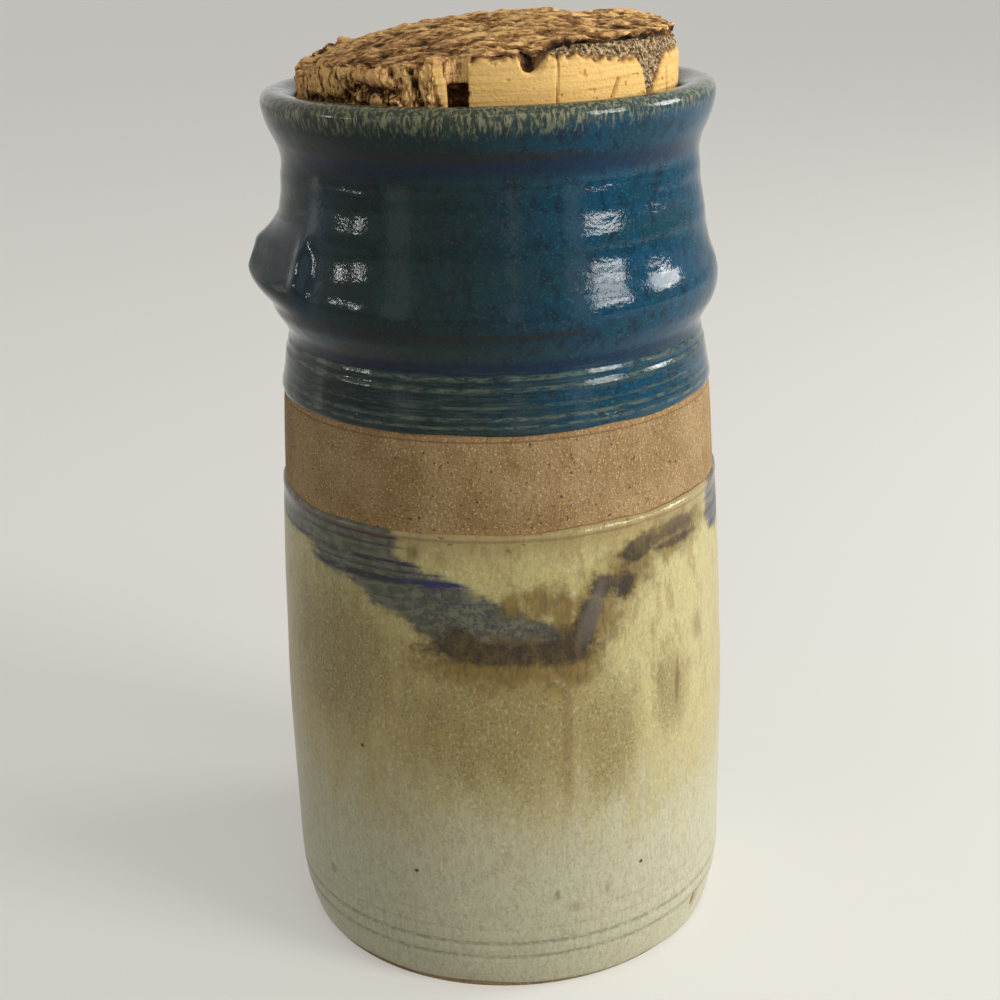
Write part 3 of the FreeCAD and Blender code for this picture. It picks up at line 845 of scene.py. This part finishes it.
def cut_out(name, across, up, width, height, depth, lean=0.0):
    """Gouge in the cork's side: a wedge that is taken away from it."""
    turn = math.radians(across)
    bpy.ops.object.select_all(action="DESELECT")
    bpy.ops.mesh.primitive_cube_add(size=1, location=(0, 0, 0))
    wedge = bpy.context.object
    wedge.scale = (width * MM, 2 * depth * MM, height * MM)
    wedge.rotation_euler = (0, math.radians(lean), turn)
    wedge.location = (CORK_RADIUS * MM * math.sin(turn),
                      -CORK_RADIUS * MM * math.cos(turn), up * MM)
    bpy.ops.object.transform_apply()
    bpy.context.view_layer.objects.active = cork
    gouge = cork.modifiers.new(name, "BOOLEAN")
    gouge.operation, gouge.object, gouge.solver = "DIFFERENCE", wedge, "EXACT"
    bpy.ops.object.modifier_apply(modifier=name)
    bpy.data.objects.remove(wedge)


cut_out("notch", -8.0, 242.2, 4.2, 8.0, 8.0)
cut_out("recess", -8.0, 250.0, 4.4, 10.0, 1.3)
cut_out("knot_hole", 11.0, 252.8, 2.2, 6.6, 1.7)
cut_out("split", 8.9, 246.4, 0.8, 3.4, 2.6, 18)

fine = cork.modifiers.new("fine", "REMESH")
fine.mode, fine.voxel_size = "VOXEL", FINE_GRID * MM
bpy.ops.object.modifier_apply(modifier="fine")
soften = cork.modifiers.new("soften", "SMOOTH")
soften.factor, soften.iterations = 0.5, 3
bpy.ops.object.modifier_apply(modifier="soften")

# The notch lies between two bearings. The clean cut goes from its right side
# to CUT_END and stops at CUT_LEVEL under the bark. It sinks to the right, and
# a V of bark comes right down through it, steep on its left side. A narrow
# leaning strip left of the notch is clean too. The knot hole has one flank
# that slopes, and a deep shadow is painted on the ledge under the bark's edge.
NOTCH_LEFT, NOTCH_RIGHT, CUT_END = -10.6, -5.6, 172
CUT_LEVEL, CUT_SINK = 252.5, 2.5
VEE_BEARING, VEE_LEFT, VEE_RIGHT, VEE_DEEP = 52.5, 5.5, 15.5, 11.5
LEDGE_LEVEL, LEDGE_SINK = 254.8, 1.7
STRIP_BEARING, STRIP_MIDDLE, STRIP_LEAN = -12.2, 246, 0.22
STRIP_HALF, STRIP_TOP = 1.5, 251.4
FLANK_BEARING, FLANK_HEIGHT, FLANK_DEPTH = 12.4, 252.8, 2.4
BROW_DEPTH = 4.2


def cut_top(bearing):
    """Where the clean cut stops, with its worn and crumbled edge."""
    away = bearing - VEE_BEARING
    vee = max(0.0, 1 - abs(away) / (VEE_LEFT if away < 0 else VEE_RIGHT))
    crumbled = noise.noise(Vector((bearing / 3.0, 0.0, 31.0)))
    return (CUT_LEVEL - CUT_SINK * ease(bearing, 17, 45) + 1.2 * crumbled
            - VEE_DEEP * vee ** 2 - 12 * ease(bearing, 160, 174))


def ledge_top(bearing):
    """Where the gritty ledge over the cut stops, under the bark's edge."""
    return LEDGE_LEVEL - LEDGE_SINK * ease(bearing, 42, 80)


# crevices in the side: half width, depth, places (bearing, height)
CREVICES = [
    (0.8, 2.0, [(-70, 238), (-68, 246)]),
    (1.3, 2.2, [(-63, 241.5), (-46, 242), (-41, 245.5), (-26, 244.5)]),
    (0.8, 1.4, [(-45, 242), (-34, 240.5), (-26, 241.5)]),
    (0.8, 1.8, [(-22, 250), (-18, 241)]),
    (0.6, 1.2, [(-27, 249), (-24, 241)]),
    (0.7, 2.0, [(-11.5, 250.5), (-10, 241)]),
    (0.3, 0.6, [(19.5, 253), (19, 240)]),
    (0.35, 0.8, [(64.5, 240), (64, 246)]),
    (0.5, 0.7, [(39, 245.5), (36.5, 241)])]


def near_line(bearing, z, points):
    """Distance in mm from a place on the cork's side to a line on it."""
    here = Vector((math.radians(bearing) * CORK_RADIUS, z))
    best = 99.0
    for (b0, z0), (b1, z1) in zip(points, points[1:]):
        a = Vector((math.radians(b0) * CORK_RADIUS, z0))
        b = Vector((math.radians(b1) * CORK_RADIUS, z1))
        f = max(0.0, min(1.0, (here - a).dot(b - a) / (b - a).length_squared))
        best = min(best, (here - a - (b - a) * f).length)
    return best


def ridged(x, y, z):
    """1 along thin winding lines, 0 far from them."""
    return 1 - min(1.0, 2.2 * abs(noise.noise(Vector((x, y, z)))))


def cork_surface(x, y, z):
    """At a place: depth worn, painted shade, how clean, how gritty, how much
    side.
    """
    bearing, out = bearing_of(x, y), math.hypot(x, y)
    top = cork_crown(x, y) + BARK_UP
    side = ease(out, 47.0, 50.2) * ease(top - z, -0.2, 1.6)
    sway = 4 * noise.noise(Vector((x / 40, y / 40, 0.0)))
    # bark on the crown: long furrows from left to right, tufted between
    lean = x + 0.6 * y
    furrow = (1.0 * ridged(x / 50, (y + sway) / 8.0, 1.0) ** 3
              + 1.4 * ridged(x / 26, (y + sway) / 4.2, 5.0) ** 2
              + 0.9 * ridged(lean / 9, (y + sway) / 2.0, 9.0) ** 1.5
              + 0.7 * (0.3 + noise.noise(Vector((lean / 4.5, y / 1.4, 3.0)))))
    # rough bark at the sides: flakes and pits that run up and down
    arc = math.radians(bearing) * CORK_RADIUS
    flake = (0.9 * ridged(arc / 6.5, z / 11, 3.0) ** 2
             + 0.8 * ridged(arc / 2.6, z / 6, 7.0) ** 2
             + 0.7 * ridged(arc / 1.4, z / 2.6, 2.0) ** 1.5
             + 0.7 * (0.3 + noise.noise(Vector((arc / 7, z / 5, 6.0)))))
    clean = 0.0
    if NOTCH_RIGHT < bearing < CUT_END:
        clean = ease(out, 48.4, 49.4) * ease(
            cut_top(bearing) + 0.6 - z, -0.3, 0.3)
    strip = STRIP_BEARING - STRIP_LEAN * (z - STRIP_MIDDLE)
    if abs(bearing - strip) < STRIP_HALF:
        clean = ease(out, 48.4, 49.4) * ease(STRIP_TOP - z, -0.4, 0.6)
    # gritty cork in a ledge above the clean cut, and a recess with a painted
    # shadow under the bark's edge
    ledge = ease(bearing, 15, 19) * (1 - ease(bearing, 88, 98))
    lip = ledge_top(bearing) + 0.6 * noise.noise(
        Vector((arc / 3, 0.0, 21.0)))
    on_side = ease(out, 45.5, 47.5)
    grit = ledge * on_side * (1 - ease(z, lip - 0.2, lip + 0.4))
    shelf = (0.5 + 2.4 * ease(z, cut_top(bearing), lip)
             * (1 - 0.6 * ease(bearing, 62, 78)))
    grainy = shelf + 0.8 * ridged(arc / 2.0, out / 2 + z / 2, 4.0) + (
        0.6 * noise.noise(Vector((x / 0.9, y / 0.9, z / 0.9))))
    brow_and_shadow = ledge * (1 - ease(bearing, 58, 70)) * on_side * (
        ease(z, lip - 0.2, lip + 0.4) * (1 - ease(z, lip + 1.5, lip + 2.3)))
    cut = 0.22 + 0.08 * noise.noise(Vector((x / 20, y / 20, z / 0.55)))
    if noise.noise(Vector((arc / 3.2, z / 1.3, 14.0))) > 0.52:
        cut += 0.35
    worn_edge = ease(z, cut_top(bearing) - 1.4, cut_top(bearing) + 0.4)
    cut += 1.0 * worn_edge * (1 + noise.noise(Vector((arc / 1.5, z, 33.0))))
    crack = 0.0
    for width, deep, points in CREVICES:
        gap = near_line(bearing, z, points)
        if gap < 2.5 * width:
            crack = max(crack, deep * math.exp(-(gap / width) ** 2))
    rough = flake
    if NOTCH_LEFT < bearing < NOTCH_RIGHT:
        # smooth cork, set back above the notch
        clean, rough = 0.35 * ease(z, 245, 248), 0.4
    if bearing > NOTCH_RIGHT:
        rough = grainy * grit + (1 - grit) * (1.0 + flake)
    # the flank of the knot hole slopes up to the right
    dip = max(0.0, 1 - math.hypot((bearing - FLANK_BEARING) / 4.4,
                                  (z - FLANK_HEIGHT) / 5.2))
    depth = (1 - side) * furrow + side * (
        clean * cut + (1 - clean) * rough + crack)
    depth += FLANK_DEPTH * dip * ease(out, 46, 49)
    depth += (BROW_DEPTH - depth) * brow_and_shadow
    # painted shade: darker where worn deeper and in the shadow under the
    # bark's edge; painted light makes the bark of the left side lighter
    painted_shade = depth + 1.6 * brow_and_shadow - 0.9 * side * (bearing < NOTCH_LEFT)
    return max(0.0, depth), painted_shade, clean, grit * (1 - clean), side


# the underside is cut clean all over: the five values of cork_surface for it
DEEPEST, UNDERSIDE, SAWN_FLAT = 4.5, 0.6, (0.2, 0.2, 1.0, 0.0, 1.0)
worn = []
for vertex in cork.data.vertices:
    x, y, z = vertex.co / MM
    if z < CORK_BASE + UNDERSIDE:
        worn.append(SAWN_FLAT)
    else:
        worn.append(cork_surface(x, y, z))
bark_group = cork.vertex_groups.new(name="bark")
for index, (deep, *_) in enumerate(worn):
    bark_group.add([index], min(deep / DEEPEST, 1.0), "REPLACE")
wear = cork.modifiers.new("bark", "DISPLACE")
wear.strength, wear.mid_level = -DEEPEST * MM, 0.0
wear.vertex_group = "bark"
bpy.ops.object.modifier_apply(modifier="bark")
# hollow keeps the painted shade from cork_surface, which the cork's colours
# follow
for place, name in enumerate(("hollow", "clean_cut", "grit", "side")):
    kept = cork.data.attributes.new(name, "FLOAT", "POINT")
    kept.data.foreach_set("value", [values[place + 1] for values in worn])
bpy.ops.object.shade_smooth()

bark = Finish("cork_bark", 0.8, Specular_IOR_Level=0.25)
# the painted shade kept in hollow darkens the colours below
painted_hollow_shade, bark_cut = bark.kept("hollow"), bark.kept("clean_cut")
# fibres and tufts: from left to right on the crown, up and down the sides
bark_tufts = bark.mix(0.4, bark.grain(2.0, 4.0, (2.4, 1, 1), 8.0, 0.65),
                      bark.grain(0.9, 3.0, (3, 1, 1), 5.0, 0.6))
bark_fibre = bark.mix(bark.kept("side"), bark_tufts,
                      bark.grain(1.2, 4.0, (1, 1, 3.5), 2.0, 0.6))
bark_fine = bark.grain(0.6, 3.0, (2, 1, 1), 8.0, 0.65)
bark_gold = bark.fade(bark.grain(20, 2.0), 0.35, 0.65)
bark_crest = bark.mix(bark_gold, (0.86, 0.520, 0.215, 1),
                      (0.92, 0.600, 0.235, 1))
bark_shade = bark.value("ADD", painted_hollow_shade, bark.times(bark.value(
    "SUBTRACT", bark_fibre, 0.5), 16.0))
bark_shade = bark.value("ADD", bark_shade, bark.times(bark_fine, 1.0))
bark_split = bark.fade(bark.value("ABSOLUTE", bark.value(
    "SUBTRACT", bark_fibre, 0.47)), 0.02, 0.0)
bark_shade = bark.value("ADD", bark_shade, bark.times(bark_split, 0.9))
# painted light and shade: gold on the crests, brown lower down, near black
# deep in the hollows
bark_rough = bark.mix(bark.fade(bark_shade, 0.9, 2.2), bark_crest,
                      (0.350, 0.175, 0.058, 1))
bark_rough = bark.mix(bark.fade(bark_shade, 2.2, 3.2), bark_rough,
                      (0.110, 0.050, 0.018, 1))
bark_rough = bark.mix(bark.fade(bark_shade, 3.2, 4.4), bark_rough,
                      (0.024, 0.013, 0.007, 1))
bark_gritty = bark.mix(bark.fade(bark.grain(0.9, 4.0, shift=6.0, rough=0.7),
                                 0.42, 0.56), (0.58, 0.43, 0.23, 1),
                       (0.10, 0.060, 0.032, 1))
# painted shadow: near black on the ledge under the bark's edge
bark_gritty = bark.mix(bark.fade(painted_hollow_shade, 3.2, 5.0), bark_gritty,
                       (0.030, 0.017, 0.010, 1))
bark_rough = bark.mix(bark.kept("grit"), bark_rough, bark_gritty)
bark_rings = bark.fade(bark.grain(1.1, 3.0, (22, 22, 1), 3.0), 0.35, 0.65)
bark_inner = bark.mix(bark_rings, (0.80, 0.52, 0.185, 1),
                      (0.66, 0.40, 0.125, 1))
bark_inner = bark.mix(bark.times(bark.fade(bark.grain(
    0.9, 3.0, shift=4.0), 0.60, 0.72), 0.4), bark_inner,
    (0.33, 0.18, 0.07, 1))
# painted shade where the clean cut is worn deeper: at its crumbled edge, in
# cracks and on the knot hole's flank
bark_inner = bark.mix(bark.fade(painted_hollow_shade, 0.45, 1.3), bark_inner,
                      (0.20, 0.095, 0.035, 1))
bark_colour = bark.mix(bark.fade(bark_cut, 0.3, 0.7), bark_rough, bark_inner)
cork.data.materials.append(bark.done(
    bark_colour, bark.relief(bark_fine, 0.3, bark.relief(bark.mix(
        bark.fade(bark_cut, 0.3, 0.7), bark_fibre, (0.5, 0.5, 0.5, 1)), 1.2))))
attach(cork, "root")
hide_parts("cork_stopper")

# The plug: the part of the stopper that goes down into the mouth. It is cut
# smooth all round and tapers a little towards its foot.
PLUG_FOOT, PLUG_RADIUS, PLUG_DEPTH, PLUG_MIDDLE = 49.3, 50.0, 10.2, 233.8

bpy.ops.object.select_all(action="DESELECT")
bpy.ops.mesh.primitive_cone_add(
    vertices=128, radius1=PLUG_FOOT * MM, radius2=PLUG_RADIUS * MM,
    depth=PLUG_DEPTH * MM, location=(0, 0, PLUG_MIDDLE * MM))
plug = bpy.context.object
plug.name = "cork_plug"
bpy.ops.object.transform_apply(location=True)
chamfer = plug.modifiers.new("chamfer", "BEVEL")
chamfer.width, chamfer.segments = 0.8 * MM, 3
bpy.ops.object.modifier_apply(modifier="chamfer")
bpy.ops.object.shade_smooth_by_angle(angle=math.radians(30))
sawn = Finish("cork_sawn", 0.8)
sawn_rings = sawn.fade(sawn.grain(1.1, 3.0, (22, 22, 1), 3.0), 0.35, 0.65)
sawn_colour = sawn.mix(sawn_rings, (0.56, 0.36, 0.14, 1),
                       (0.42, 0.25, 0.09, 1))
plug.data.materials.append(sawn.done(sawn_colour, sawn.relief(
    sawn.grain(0.7, 3.0, shift=2.0), 0.15)))
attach(plug, "root")
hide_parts("cork_stopper")
